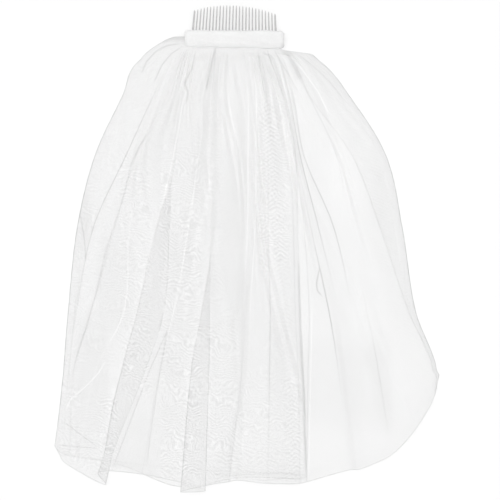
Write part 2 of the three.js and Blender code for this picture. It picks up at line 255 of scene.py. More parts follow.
# Hem of the upper layer, left to right.
hemX = [-201, -192, -174, -155, -147, -140, -126, -100, -80, -70, -56, -44, -39,
        -11, 20, 52, 62, 73, 94, 125, 147, 168, 189, 199, 201]
hemY = [-206, -223, -235, -233.5, -247, -233, -231, -238, -245, -254.4, -254.8, -254, -246.5,
        -243, -246, -247, -244.5, -244.5, -235, -229, -220, -201, -173, -149, -143]

bandFrame = {
    "length": 103,
    "thick": 10,
    "middleX": -12.6,
    "lowLeft": 211.0,
    "lowRight": 209.1,
    "topLeft": 227.7,
    "topRight": 227.3,
}

# Small gathers: waves across the upper layer, half height, and where they swell and fade.
gathers = [
    {"waves": 47, "height": 0.8, "from": 0, "full": 9, "gone": 70, "seed": 3},
    {"waves": 29, "height": 1.3, "from": 2, "full": 30, "gone": 150, "seed": 11},
    {"waves": 17, "height": 1.4, "from": 15, "full": 90, "gone": 330, "seed": 17},
    {"waves": 9, "height": 1.2, "from": 60, "full": 200, "gone": 700, "seed": 23},
]

# How the gathers drift sideways on their way down, how unevenly high they are, and how
# much of them the under layers take.
gatherDrift = {"turns": 0.9, "down": 1400, "lowest": 2.3}
gatherUneven = {"level": 0.75, "swing": 0.45, "across": 1.7, "down": 900, "lowest": 3.1}
underGather = {"share": 0.5, "guides": 9}


def along(column, step):
    # smooth value of a station column at fractional station numbers
    stations = np.array(veil["stations"], dtype=float)
    column = np.array(column, dtype=float)
    last = len(column) - 1
    k = np.clip(np.floor(step).astype(int), 0, last - 1)
    t = step - k
    lo = np.maximum(np.arange(last + 1) - 1, 0)
    hi = np.minimum(np.arange(last + 1) + 1, last)
    slope = (column[hi] - column[lo]) / (stations[hi] - stations[lo])
    span = stations[k + 1] - stations[k]
    a, b = column[k], column[k + 1]
    rise = a * (1 + 2 * t) * (1 - t) ** 2 + slope[k] * span * t * (1 - t) ** 2
    return rise + b * t * t * (3 - 2 * t) - slope[k + 1] * span * t * t * (1 - t)


def rowY(step, hem, swell):
    # y of a row: down from inside the band by the stations, and last to the hem
    last = len(veil["stations"]) - 1
    y = veil["firstY"] - along(veil["stations"], np.minimum(step, last - 1))
    y = y + swell * np.sin(math.pi * np.sqrt(np.clip(step, 0, 1)))
    y = np.where(step < veil["headStep"], mix(veil["topY"], y, step / veil["headStep"]), y)
    return np.where(step > last - 1, mix(y, hem, step - last + 1), y)


def highestY(x, step):
    # the cloth may swell back only past the left end of the band
    past = np.maximum(bandFrame["middleX"] - bandFrame["length"] / 2 + veil["swellInside"] - x, 0)
    return veil["topY"] - step + veil["swellSlope"] * past


def release(x, y):
    # share of its free height that the cloth has reached beside or below the band
    below = bandFrame["lowRight"] - y
    half = bandFrame["length"] / 2
    beside = np.maximum(bandFrame["middleX"] - half - x, x - bandFrame["middleX"] - half)
    return smoothStep((np.maximum(below, beside) - veil["releaseStart"]) / veil["releaseReach"])


def buildGuides(step):
    # guide lines down the cloth, from its right free edge round to its left one
    guides, gatherShare, columns, layers, lines = [], [], [], [], []
    swellRight, swellLeft = veil["rightSwell"], veil["leftSwell"]
    spread = smoothStep((bandFrame["lowRight"] - rowY(step, 0, swellRight)) / veil["spreadReach"])
    spread = np.where(step > veil["spreadStation"], 1, spread)

    def spreadX(column):
        return mix(column[0], along(column, step), spread)

    def add(x, z, held, lift, swell, share, count, layer, line=0.0):
        bumps = noiseWave(x / veil["bumpLength"], veil["bumpSeed"] + len(guides))
        hem = np.interp(x, hemX, hemY) + lift + veil["hemBumps"] * bumps
        y = rowY(step, hem, swell)
        z = mix(held, z, release(x, y))
        guides.append(np.stack([x, y, z + 0 * x], axis=1))
        gatherShare.append(share)
        columns.append(count)
        layers.append(layer)
        lines.append(line + 0 * x)

    right, left = spreadX(sides["rightTurn"]), along(sides["leftTurn"], step)
    inner, rightEnd = spreadX(sides["innerTurn"]), spreadX(sides["rightFree"])
    leftEnd, reach = along(sides["leftFree"], step), along(sides["turnReach"], step)
    heldLow, heldMid, heldTop = veil["heldLower"], veil["heldMiddle"], veil["heldUpper"]
    rest, middle = veil["restZ"], veil["middleZ"]
    middleLift, lowerLift = veil["middleLift"], veil["lowerLift"]
    mesh = veil["columns"]

    # the strip turned under at the right, and its turn
    stripTurn = np.maximum(right - reach, rightEnd + veil["stripLeast"])
    add(rightEnd, rest, heldLow, 0, swellRight, 0, mesh["strip"], "strip")
    add(stripTurn, veil["stripZ"], heldLow, 0, swellRight, 0, mesh["turn"], "strip")
    add(right, veil["rightTurnZ"], (heldLow + heldTop) / 2, 0, swellRight, 0, mesh["turn"], "strip",
        veil["sideLine"])
    # the upper layer, fold by fold
    add(right - reach, veil["rightUpperZ"], heldTop, 0, swellRight, veil["rightGather"],
        mesh["rightUpper"], "upper")
    for i, fold in enumerate(upperFolds):
        far = np.clip((i - veil["swellAfter"]) / veil["swellFolds"], 0, 1)
        place = spreadX(fold["x"]) if i < veil["spreadFolds"] else along(fold["x"], step)
        add(place, along(fold["z"], step), heldTop, 0, swellLeft * far ** veil["swellCurve"],
            fold["gather"], fold["columns"], "upper", along(fold["line"], step))
    add(left + reach, veil["leftUpperZ"], heldTop, 0, swellLeft, veil["leftGather"],
        mesh["turn"], "upper")
    # round the left side to the middle layer
    add(left, veil["leftTurnZ"], (heldMid + heldTop) / 2, 0, swellLeft, 0, mesh["turn"], "turn",
        veil["sideLine"])
    add(left + reach, middle, heldMid, middleLift, swellLeft, 0, mesh["afterTurn"], "middle")
    for share in (0.25, 0.5, 0.75):
        x = mix(left + reach, inner - reach, share)
        swell = swellLeft * (1 - share) ** 3
        add(x, middle, heldMid, middleLift, swell, veil["middleGather"], mesh["under"], "middle")
    # doubled back once more to the left free edge
    add(inner - reach, middle, heldMid, middleLift, 0, 0, mesh["inner"], "middle")
    add(inner, veil["innerTurnZ"], (heldMid + heldLow) / 2, middleLift, 0, 0, mesh["inner"], "turn",
        veil["innerLine"])
    add(inner - reach, rest, heldLow, lowerLift, 0, 0, mesh["under"], "lower")
    for share in (0.33, 0.66, 1):
        x = mix(inner - reach, leftEnd, share)
        swell = swellLeft * 0.5 * share ** 3
        add(x, rest, heldLow, lowerLift, swell, veil["lowerGather"], mesh["under"], "lower")
    return np.array(guides), gatherShare, columns, layers, np.array(lines)


def throughGuides(guides, k, t):
    # centripetal curve through the guide points of every row at once
    count = len(guides)
    p0 = guides[k - 1] if k > 0 else 2 * guides[0] - guides[1]
    p1, p2 = guides[k], guides[k + 1]
    p3 = guides[k + 2] if k + 2 < count else 2 * guides[-1] - guides[-2]

    def gap(a, b):
        return np.maximum(np.linalg.norm(b - a, axis=1, keepdims=True), 1e-4) ** 0.5

    d0, d1, d2 = gap(p0, p1), gap(p1, p2), gap(p2, p3)
    m1 = (p2 - p1) + d1 * ((p1 - p0) / d0 - (p2 - p0) / (d0 + d1))
    m2 = (p2 - p1) + d1 * ((p3 - p2) / d2 - (p3 - p1) / (d1 + d2))
    a = (1 + 2 * t) * (1 - t) ** 2
    b = t * (1 - t) ** 2
    c = t * t * (3 - 2 * t)
    d = t * t * (1 - t)
    return a * p1 + b * m1 + c * p2 - d * m2


def gatherHeight(across, out, share):
    total = np.zeros_like(out)
    for wave in gathers:
        swell = smoothStep((out - wave["from"]) / (wave["full"] - wave["from"]))
        fade = 1 - smoothStep((out - wave["full"]) / (wave["gone"] - wave["full"]))
        drift = gatherDrift["turns"] * noiseWave(across + out / gatherDrift["down"], wave["seed"],
                                                 lowest=gatherDrift["lowest"])
        uneven = noiseWave(across * gatherUneven["across"] + out / gatherUneven["down"],
                           wave["seed"] + 1, lowest=gatherUneven["lowest"])
        strength = gatherUneven["level"] + gatherUneven["swing"] * uneven
        phase = 2 * math.pi * (wave["waves"] * across + drift)
        total += wave["height"] * swell * fade * strength * np.sin(phase)
    return total * share


def buildCloth():
    v = np.linspace(0, 1, veil["rows"])
    crowded = veil["crowdedShare"]
    steps = len(veil["stations"]) - 1
    step = steps * (crowded * v ** veil["crowding"] + (1 - crowded) * v)
    guides, shares, columns, layers, lines = buildGuides(step)
    points = []
    upperCount = sum(c for c, layer in zip(columns, layers) if layer == "upper")
    done = 0
    for k in range(len(guides) - 1):
        for c in range(columns[k]):
            t = c / columns[k]
            line = throughGuides(guides, k, t)
            line[:, 1] = np.minimum(line[:, 1], highestY(line[:, 0], step))
            out = np.maximum(bandFrame["lowRight"] - line[:, 1], 0)
            share = mix(shares[k], shares[k + 1], t)
            layer = layers[k]
            if layer == "upper":
                across = (done + c) / upperCount
                line[:, 2] += gatherHeight(np.full_like(out, across), out, share)
            elif share > 0:
                across = (k + t) / underGather["guides"]
                line[:, 2] += underGather["share"] * gatherHeight(np.full_like(out, across), out, share)
            points.append(line)
        done += columns[k] if layers[k] == "upper" else 0
    points.append(guides[-1].copy())
    grid = np.array(points).transpose(1, 0, 2)
    free = release(grid[:, :, 0], grid[:, :, 1])
    lowest = mix(veil["heldLower"], veil["restZ"], free)
    highest = mix(veil["heldUpper"], veil["freeZ"], free)
    grid[:, :, 2] = np.minimum(np.maximum(grid[:, :, 2], lowest), highest)
    guideColumns = np.concatenate([[0], np.cumsum(columns[:len(guides) - 1])])
    upper = guideColumns[layers.index("upper")], guideColumns[layers.index("turn")]
    return grid, guideColumns, lines, upper


def gridFaces(rows, columns):
    r, c = np.meshgrid(np.arange(rows - 1), np.arange(columns - 1), indexing="ij")
    first = (r * columns + c).ravel()
    return np.stack([first, first + columns, first + columns + 1, first + 1], axis=1).tolist()


def clothMap(grid):
    # flat cloth coordinates in mm: across as where the cloth is spread wide, down along each
    # thread line
    gaps = np.linalg.norm(np.diff(grid, axis=1), axis=2)
    u = np.concatenate([[0], np.cumsum(np.percentile(gaps, veil["spreadPercent"], axis=0))])
    hemRun, halfRun = gaps[-1].sum(), gaps[len(gaps) // 2].sum()
    print("cloth is", round(u[-1]), "mm wide when spread flat;",
          "along the hem", round(hemRun), "and halfway down", round(halfRun))
    u = u * veil["flatWidth"] / u[-1]
    drop = np.linalg.norm(np.diff(grid, axis=0), axis=2)
    down = np.concatenate([np.zeros((1, grid.shape[1])), np.cumsum(drop, axis=0)])
    cut = (np.diff(u) * (down[-1, 1:] + down[-1, :-1]) / 2).sum()
    print("its cut, with rounded corners, has", round(cut / 1e6, 4), "square metres,",
          "and its longest line is", round(down[-1].max()), "mm")
    return np.stack([np.broadcast_to(u, down.shape), down], axis=2).reshape(-1, 2)


# The net: hexagons in mm across the flats, the edge of their threads on the wave that
# draws them, and how the threads take the light.
net = {
    "cell": 1.35,
    "turn": 4,                  # degrees between the net and the cloth's length
    "threadEdge": -0.42,
    "threadSoft": 0.2,
    "threadWhite": 0.68,
    "darkest": 0.3,
    "palest": 0.985,
    "roughness": 0.62,
    "shine": 0.2,
    "through": 0.5,             # share of the light that passes on through a thread
    "lineWidth": 1.25,
    "lineDense": 2.2,
    # painted shade: how far the lines darken the threads; below 0 they make them paler, a painted
    # highlight
    "paintedLineShadeAndHighlight": 0.55,
}

# The coarser figures where two nets lie over each other, in mm: swirls with dots, bent by
# the slack of the cloth, and right of the middle a fishbone, whose line down the cloth
# crosses y = 0 at its middle and leans.
figures = {
    "tone": 0.068,
    "swirl": 3.9,
    "swirlTurn": 75,
    "dot": 3.3,
    "dotTurn": 11,
    "dotShare": 0.45,
    "bend": 20.0,
    "slackScale": 38.0,
    "slackDetail": 2.0,
    "boneMiddle": 34.8,
    "boneLean": 0.0783,
    "boneReach": 13.0,
    "boneSlope": 0.65,
    "boneLength": 4.6,
    "boneGain": 1.4,
}

# Creases that run across the fold lines, as they show in the photograph: set, strength,
# half width in mm, and the pixel columns and rows that they run through. Above 0 they are
# dense, with threads darkened as painted shade; below 0 they are dense with threads made
# paler, painted highlights along ridges and, in beadLine, a pale row of beads where the nets
# ripple. Near neighbours are in different sets.
creases = {
    "hook": (0, 0.4, 1.3, [319, 316, 317, 323], [268, 283, 291, 297]),
    "shoulderLineOut": (0, 0.22, 1.3, [296, 312, 330, 345], [54, 66, 83, 102]),
    "shoulderLineIn": (1, -0.22, 1.3, [288, 303, 318, 330], [54, 72, 93, 118]),
    "pleatOne": (0, 0.28, 1.4, [266, 270, 276, 284], [47, 60, 76, 100]),
    "pleatTwo": (1, 0.2, 1.3, [273, 279, 289, 299], [48, 60, 76, 95]),
    "pleatThree": (2, 0.2, 1.2, [258, 259, 262, 266], [48, 62, 80, 104]),
    "pleatFarLine": (1, 0.28, 1.2, [172, 168, 150, 135, 120, 111], [312, 330, 370, 410, 450, 474]),
    "wedgeSide": (2, 0.22, 1.5, [168, 159, 152, 146], [330, 380, 425, 472]),
    "besideRidge": (2, 0.35, 1.8, [216, 211, 206], [46, 68, 94]),
    "ridgeLight": (0, -0.22, 1.1, [195, 190, 181, 186, 183, 178, 172, 165, 160],
                   [44, 68, 85, 93, 105, 135, 165, 195, 212]),
    "ridgeDark": (1, 0.3, 1.3, [196, 192.5, 185, 188.5, 186], [50, 69, 84, 93, 108]),
    "secondRidge": (1, -0.16, 1.0, [212, 207, 202, 203, 197, 192], [44, 80, 100, 130, 170, 215]),
    "secondRidgeLow": (1, -0.13, 1.0, [192, 188, 185, 180, 172, 165],
                       [195, 230, 250, 290, 320, 350]),
    "slantShade": (0, 0.2, 1.8, [160, 140, 132, 125, 117, 107, 97, 86, 77, 70],
                   [120, 147, 165, 195, 220, 250, 292, 330, 357, 390]),
    "smallLeftFold": (1, 0.25, 1.3, [78, 82, 85, 87], [205, 222, 240, 265]),
    "shoulderShade": (1, 0.3, 1.6, [182, 168, 156, 147, 141], [44, 46, 52, 62, 76]),
    "shoulderShadeLow": (2, 0.3, 1.4, [183, 172, 162, 154], [47, 54, 66, 84]),
    "centreShade": (0, 0.13, 4.5, [245, 243, 240, 232, 228], [256, 330, 400, 440, 484]),
    "layerLine": (1, 0.28, 2.4, [298, 300, 304, 306], [250, 330, 400, 483]),
    "besideLayerLine": (2, -0.16, 1.0, [312, 311, 309.5, 308.5], [298, 350, 420, 480]),
    "rightCentreShade": (2, 0.07, 3.0, [268, 270, 268], [240, 330, 410]),
    "leftHemUnder": (0, 0.26, 1.0, [56, 78, 100], [444, 446, 447.5]),
    "leftHemSlant": (1, 0.3, 1.0, [62, 80, 98], [419, 433, 446]),
    "hemUnderOne": (2, 0.22, 1.0, [208, 225, 250, 280, 306], [472, 475, 473, 472, 475]),
    "hemUnderTwo": (0, 0.18, 1.0, [250, 265, 285, 306], [478, 479, 477, 479]),
    "besideBandRight": (0, 0.2, 7, [280, 291, 301], [44, 59, 82]),
    "besideBandLeft": (0, 0.25, 5.5, [158, 172, 190], [42, 39, 39]),
    "beadLine": (2, -0.2, 4.2, [214, 212, 206, 198, 194, 189, 183],
                 [150, 175, 208, 235, 262, 290, 330]),
    "slantLight": (0, -0.22, 1.1, [108, 99, 85, 72, 65], [357, 373, 387, 398, 412]),
    "rightFieldShade": (0, 0.05, 14, [371, 381, 388], [340, 390, 436]),
    "sideFieldLine": (2, 0.07, 1.3, [352, 366, 384, 399], [150, 190, 235, 282]),
}

# The crease of beads: mm from bead to bead.
beadSpacing = {"beadLine": 8.5}

# How far in mm a crease can reach, the share of its length over which each end fades, and
# the distance that stands for no crease.
creaseLook = {"reach": 13, "fade": 0.12, "none": 99.0}

# Where the layers' nets ripple against each other: pixel columns and rows of the photograph,
# and strength.
ripples = {
    "rightOfCentre": ((258, 290), (98, 270), 0.8),
    "rightBelow": ((263, 292), (240, 400), 0.35),
    "leftOfCentre": ((160, 203), (140, 484), 0.9),
    "leftField": ((117, 152), (150, 345), 0.8),
    "beads": ((207, 224), (70, 484), 0.5),
    "farLeft": ((58, 115), (170, 475), 0.5),
    "dottedStrip": ((206, 240), (315, 482), 0.9),
    "lowCentre": ((226, 302), (370, 480), 0.7),
    "shoulder": ((130, 200), (50, 140), 0.35),
    "leftSide": ((84, 132), (95, 200), 0.35),
    "pleat": ((122, 152), (330, 400), 0.9),
    "pleatFoot": ((98, 120), (385, 475), 0.9),
}

# Painted light and shade: broad parts of the upper layer whose threads are made paler, or darker below
# 0, given likewise.
paintedLightAndShade = {
    "fishbone": ((267, 292), (100, 320), 0.05),
    "fishboneTop": ((256, 292), (78, 116), 0.05),
    "middleRight": ((222, 240), (75, 150), 0.045),
    "rightShoulder": ((330, 372), (80, 208), 0.03),
    "rightField": ((300, 392), (340, 425), -0.038),
    "leftOfCentre": ((169, 194), (235, 335), -0.045),
    "leftBelow": ((164, 187), (335, 445), -0.035),
    "leftField": ((98, 135), (240, 330), -0.035),
    "leftFoot": ((78, 108), (318, 440), -0.038),
    "layerFold": ((287, 299), (112, 162), 0.05),
    "layerFoldLow": ((298, 308), (148, 190), 0.045),
    "leftNick": ((79, 91), (190, 240), -0.06),
}

# How soft the edges of both kinds of zone are, in mm across and down.
zoneSoft = {"across": 8, "down": 40}


def pinchMarks(grid, guideColumns, lines):
    # for each point: how far it is from the nearest guide line, and that line's strength
    rows, columns = grid.shape[:2]
    gaps = np.linalg.norm(np.diff(grid, axis=1), axis=2)
    run = np.concatenate([np.zeros((rows, 1)), np.cumsum(gaps, axis=1)], axis=1)
    marks = run[:, guideColumns]
    away = np.abs(run[:, :, None] - marks[:, None, :])
    nearest = away.argmin(axis=2)
    strength = np.take_along_axis(np.broadcast_to(lines.T[:, None, :], away.shape),
                                  nearest[:, :, None], axis=2)[:, :, 0]
    return away.min(axis=2).ravel(), strength.ravel()


def besidePath(part, path):
    # signed distance of each point from the path, and how far along the path it is
    lengths = np.linalg.norm(np.diff(path, axis=0), axis=1)
    total, done = lengths.sum(), 0
    best = np.full(part.shape[:2], creaseLook["none"])
    share = np.zeros(part.shape[:2])
    for a, b, length in zip(path[:-1], path[1:], lengths):
        way = (b - a) / length
        out = part - a
        t = np.clip(out @ way, 0, length)
        away = np.linalg.norm(out - t[:, :, None] * way, axis=2)
        side = np.where(out[:, :, 0] * way[1] > out[:, :, 1] * way[0], 1.0, -1.0)
        closer = away < np.abs(best)
        best = np.where(closer, away * side, best)
        share = np.where(closer, (done + t) / total, share)
        done += length
    return best, share, total


def creaseMarks(grid, upper):
    # signed distances to the nearest crease of each set, in half widths, and its strength
    distance = np.full(grid.shape[:2] + (3,), creaseLook["none"])
    strength = np.zeros(grid.shape[:2] + (3,))
    part = grid[:, upper[0]:upper[1] + 1, :2]
    for name, (group, firm, halfWidth, columns, rows) in creases.items():
        best, share, total = besidePath(part, fromPhoto(columns, rows))
        fade = smoothStep(share / creaseLook["fade"]) * smoothStep((1 - share) / creaseLook["fade"])
        if name in beadSpacing:
            fade = fade * (0.5 + 0.5 * np.cos(2 * math.pi * share * total / beadSpacing[name]))
        nearby = np.abs(best) < creaseLook["reach"]
        held = distance[:, upper[0]:upper[1] + 1, group]
        taken = nearby & (np.abs(best) / halfWidth < np.abs(held))
        held[taken] = best[taken] / halfWidth
        marked = strength[:, upper[0]:upper[1] + 1, group]
        marked[taken] = (firm * fade)[taken]
    return distance.reshape(-1, 3), strength.reshape(-1, 3)


def softInside(value, low, high, soft):
    return smoothStep((value - low) / soft + 0.5) * smoothStep((high - value) / soft + 0.5)


def zoneMarks(grid, upper, zones):
    # the strongest zone's strength at each point, soft at the zones' edges
    marks = np.zeros(grid.shape[:2])
    part = grid[:, upper[0]:upper[1] + 1]
    for columns, rows, strength in zones.values():
        lowX, topY = fromPhoto(columns[0], rows[0])
        highX, lowY = fromPhoto(columns[1], rows[1])
        inX = softInside(part[:, :, 0], lowX, highX, zoneSoft["across"])
        inY = softInside(part[:, :, 1], lowY, topY, zoneSoft["down"])
        value = strength * inX * inY
        held = marks[:, upper[0]:upper[1] + 1]
        held[:] = np.where(np.abs(value) > np.abs(held), value, held)
    return marks.ravel()


def addMarks(mesh, name, values):
    if values.ndim == 1:
        marks = mesh.attributes.new(name, "FLOAT", "POINT")
        marks.data.foreach_set("value", values.astype(np.float32))
    else:
        marks = mesh.attributes.new(name, "FLOAT_VECTOR", "POINT")
        marks.data.foreach_set("vector", values.astype(np.float32).ravel())


def maths(tree, operation, *values):
    # arithmetic on numbers and on outputs of other nodes, in the order of the node's inputs
    node = addNode(tree, "ShaderNodeMath", operation=operation)
    for index, value in enumerate(values):
        if isinstance(value, (int, float)):
            node.inputs[index].default_value = value
        else:
            tree.links.new(value, node.inputs[index])
    return node.outputs[0]


def readMark(tree, name, output="Fac"):
    return addNode(tree, "ShaderNodeAttribute", attribute_name=name).outputs[output]


def apart(tree, vector):
    return addNode(tree, "ShaderNodeSeparateXYZ", links={"Vector": vector}).outputs


def oneWave(tree, x, y, length, turn):
    angle = math.radians(turn)
    reach = 2 * math.pi / length
    across = maths(tree, "MULTIPLY", x, reach * math.cos(angle))
    return maths(tree, "COSINE", maths(tree, "MULTIPLY_ADD", y, reach * math.sin(angle), across))


def waveWeb(tree, x, y, cell, turn):
    # three crossing waves: high in the holes of a hexagonal net, low on its threads
    waves = [oneWave(tree, x, y, cell, turn + 60 * index) for index in range(3)]
    return maths(tree, "ADD", maths(tree, "ADD", waves[0], waves[1]), waves[2])


def fadeOut(tree, away, reach, most):
    # the most where there is no distance, fading to nothing at the reach
    near = addNode(tree, "ShaderNodeMapRange", {"From Min": 0.0, "From Max": reach,
                   "To Min": most, "To Max": 0.0}, {"Value": away},
                   interpolation_type="SMOOTHSTEP")
    return near.outputs["Result"]


def lineMark(tree, gap, strength, reach):
    near = fadeOut(tree, maths(tree, "ABSOLUTE", gap), reach, 1.0)
    return maths(tree, "MULTIPLY", near, strength)


def pinchAndPaintedShadeMark(tree):
    # how firmly the net is pinched at a point, by the fold lines and by the creases; the same mark
    # darkens the threads as painted shade, or below 0 makes them paler as a painted highlight
    gap, strength = readMark(tree, "lineGap"), readMark(tree, "lineStrength")
    mark = lineMark(tree, gap, strength, net["lineWidth"])
    away = apart(tree, readMark(tree, "creaseGap", "Vector"))
    firm = apart(tree, readMark(tree, "creaseStrength", "Vector"))
    for axis in "XYZ":
        mark = maths(tree, "ADD", mark, lineMark(tree, away[axis], firm[axis], 1.0))
    return mark


def swirlFigure(tree, place, inMm):
    # swirls and dots, bent by the small slack of the cloth
    slack = addNode(tree, "ShaderNodeTexNoise",
                    {"Scale": figures["slackScale"], "Detail": figures["slackDetail"]},
                    {"Vector": place.outputs["Object"]})
    bend = addNode(tree, "ShaderNodeVectorMath", {1: (0.5, 0.5, 0.5)}, {0: slack.outputs["Color"]},
                   operation="SUBTRACT")
    reach = addNode(tree, "ShaderNodeVectorMath", {"Scale": figures["bend"] * 2},
                    {0: bend.outputs[0]}, operation="SCALE")
    bent = addNode(tree, "ShaderNodeVectorMath", links={0: inMm, 1: reach.outputs[0]},
                   operation="ADD")
    parts = apart(tree, bent.outputs[0])
    swirls = oneWave(tree, parts["X"], parts["Y"], figures["swirl"], figures["swirlTurn"])
    dots = waveWeb(tree, parts["X"], parts["Y"], figures["dot"], figures["dotTurn"])
    return maths(tree, "MULTIPLY_ADD", dots, figures["dotShare"], swirls)


def fishboneFigure(tree, inMm, others):
    # bones that slant away from both sides of a line, added to the other figures
    parts = apart(tree, inMm)
    line = maths(tree, "MULTIPLY_ADD", parts["Y"], figures["boneLean"], parts["X"])
    beside = maths(tree, "ABSOLUTE", maths(tree, "SUBTRACT", line, figures["boneMiddle"]))
    run = maths(tree, "MULTIPLY_ADD", beside, figures["boneSlope"], parts["Y"])
    bones = oneWave(tree, beside, run, figures["boneLength"], 90)
    near = fadeOut(tree, beside, figures["boneReach"], figures["boneGain"])
    return maths(tree, "MULTIPLY_ADD", bones, near, others)


def threadTone(tree, mark):
    # how white the threads are: darkened along pinched lines as painted shade (made paler, a painted
    # highlight, where their mark is below 0), rippled, and made paler or darker by broad parts as
    # painted light and shade
    place = addNode(tree, "ShaderNodeTexCoord")
    inMm = addNode(tree, "ShaderNodeVectorMath", {"Scale": 1000.0}, {0: place.outputs["Object"]},
                   operation="SCALE").outputs[0]
    figure = fishboneFigure(tree, inMm, swirlFigure(tree, place, inMm))
    ripple = maths(tree, "MULTIPLY", figure, readMark(tree, "ripple"))
    # painted shade along the pinched lines, painted highlight where their mark is below 0
    darker = maths(tree, "MULTIPLY_ADD", mark, -net["paintedLineShadeAndHighlight"], net["threadWhite"])
    tone = maths(tree, "MULTIPLY_ADD", ripple, figures["tone"], darker)
    # painted light and shade of the broad parts
    shaded = maths(tree, "ADD", tone, readMark(tree, "shade"))
    white = addNode(tree, "ShaderNodeClamp", {"Min": net["darkest"], "Max": net["palest"]},
                    {"Value": shaded})
    return white.outputs[0]


def threadCover(tree, mark):
    # 1 on a thread, 0 in a hole of the net; pinched net has thicker threads
    uv = addNode(tree, "ShaderNodeUVMap", uv_map="cloth")
    parts = apart(tree, uv.outputs["UV"])
    web = waveWeb(tree, parts["X"], parts["Y"], net["cell"], net["turn"])
    dense = maths(tree, "MULTIPLY_ADD", maths(tree, "ABSOLUTE", mark), -net["lineDense"], web)
    cover = addNode(tree, "ShaderNodeMapRange",
                    {"From Min": net["threadEdge"] + net["threadSoft"],
                     "From Max": net["threadEdge"] - net["threadSoft"],
                     "To Min": 0.0, "To Max": 1.0}, {"Value": dense})
    return cover.outputs["Result"]


def makeNetMaterial():
    material, tree, shader = newMaterial("tulleNet", net["roughness"])
    shader.inputs["Specular IOR Level"].default_value = net["shine"]
    mark = pinchAndPaintedShadeMark(tree)
    white = threadTone(tree, mark)
    tree.links.new(white, shader.inputs["Base Color"])
    glow = addNode(tree, "ShaderNodeBsdfTranslucent", links={"Color": white})
    thread = addNode(tree, "ShaderNodeMixShader", {"Fac": net["through"]},
                     {1: shader.outputs[0], 2: glow.outputs[0]})
    hole = addNode(tree, "ShaderNodeBsdfTransparent")
    whole = addNode(tree, "ShaderNodeMixShader", links={"Fac": threadCover(tree, mark),
                    1: hole.outputs[0], 2: thread.outputs[0]})
    tree.links.new(whole.outputs[0], tree.nodes["Material Output"].inputs["Surface"])
    return material


def makeVeil():
    grid, guideColumns, lines, upper = buildCloth()
    rows, columns = grid.shape[:2]
    uv = clothMap(grid)
    piece = makeMesh("veilTulle", grid.reshape(-1, 3) * mm, gridFaces(rows, columns),
                     [makeNetMaterial()], uv)
    gap, strength = pinchMarks(grid, guideColumns, lines)
    addMarks(piece.data, "lineGap", gap)
    addMarks(piece.data, "lineStrength", strength)
    creaseGap, creaseStrength = creaseMarks(grid, upper)
    addMarks(piece.data, "creaseGap", creaseGap)
    addMarks(piece.data, "creaseStrength", creaseStrength)
    addMarks(piece.data, "ripple", zoneMarks(grid, upper, ripples))
    # painted light and shade of broad parts of the upper layer
    addMarks(piece.data, "shade", zoneMarks(grid, upper, paintedLightAndShade))
    area = sum(face.area for face in piece.data.polygons)
    print("veil cloth:", rows, "by", columns, "points, area", round(area, 4), "square metres")
    return piece, grid


# The thread along the hem and the free edges.
hem = {"radius": 0.36, "lift": 0.05, "belowBand": 3, "roughness": 0.6, "white": 0.55}


def tubeAlong(name, line, radius, material):
    curve = bpy.data.curves.new(name, "CURVE")
    curve.dimensions = "3D"
    spline = curve.splines.new("POLY")
    spline.points.add(len(line) - 1)
    placed = np.concatenate([line * mm, np.ones((len(line), 1))], axis=1)
    spline.points.foreach_set("co", placed.ravel())
    curve.bevel_depth = radius * mm
    curve.bevel_resolution = 1
    curve.materials.append(material)
    piece = bpy.data.objects.new(name, curve)
    bpy.context.collection.objects.link(piece)
    return piece


def makeThreadMaterial():
    material, tree, shader = newMaterial("hemThread", hem["roughness"])
    shader.inputs["Base Color"].default_value = grey(hem["white"])
    return material


def makeHem(grid):
    thread = makeThreadMaterial()
    # down the right free edge from below the band, along the hem and up the left one
    outside = int(np.argmax(grid[:, 0, 1] < bandFrame["lowRight"] - hem["belowBand"]))
    line = np.concatenate([grid[outside:-1, 0], grid[-1], grid[outside:-1, -1][::-1]])
    line[:, 2] = np.maximum(line[:, 2], hem["radius"] + hem["lift"])
    return tubeAlong("hemThread", line, hem["radius"], thread)


# The wrapped cloth of the band: its mesh and shape in mm, then its greys, its painted light and felt.
band = {
    "around": 64,
    "along": 150,
    "wall": 1.1,
    "wrap": 152,                # degrees to each side of the top, open below
    "squareY": 0.62,            # below 1: fuller than an oval
    "squareZ": 0.7,
    "creaseDepth": 0.25,
    "creaseLevel": 0.9,
    "edgeWander": 0.35,
    "lowest": 0.1,
    "highest": 9.9,
    "roughness": 0.9,
    "sheen": 0.3,
    "felt": 0.35,
    "feltDepth": 0.0006,        # metres
    "dark": 0.56,
    "pale": 0.65,
    "fibre": {"Scale": 900.0, "Detail": 4.0, "Roughness": 0.6},
    "cloud": {"Scale": 60.0, "Detail": 3.0},
    "cloudShare": 0.3,
    "darkAt": 0.3,
    "paleAt": 0.7,
    "paintedLightWhite": 0.95,         # painted light: the side turned to the tulle is made paler
    "paintedLightShare": 0.38,
    "paintedLightFrom": -0.2,
    "paintedLightTo": -0.9,
}

# Soft creases along the band and across it: waves along its length and round its section,
# and seed; the waves and seed of its edge come last.
bandCreases = {"lengthwise": (1.3, 0.25, 5), "slanting": (1, 0.9, 8), "slantShare": 0.5,
               "edge": (3, 9)}

# Shape of the band from its left end to its right end: share of full height and thickness.
bandShape = [(0, 0.80, 0.62), (0.02, 0.93, 0.85), (0.07, 1, 1), (0.3, 0.98, 1), (0.6, 1, 1),
             (0.9, 0.99, 1), (0.97, 0.95, 0.98), (1, 0.72, 0.8)]


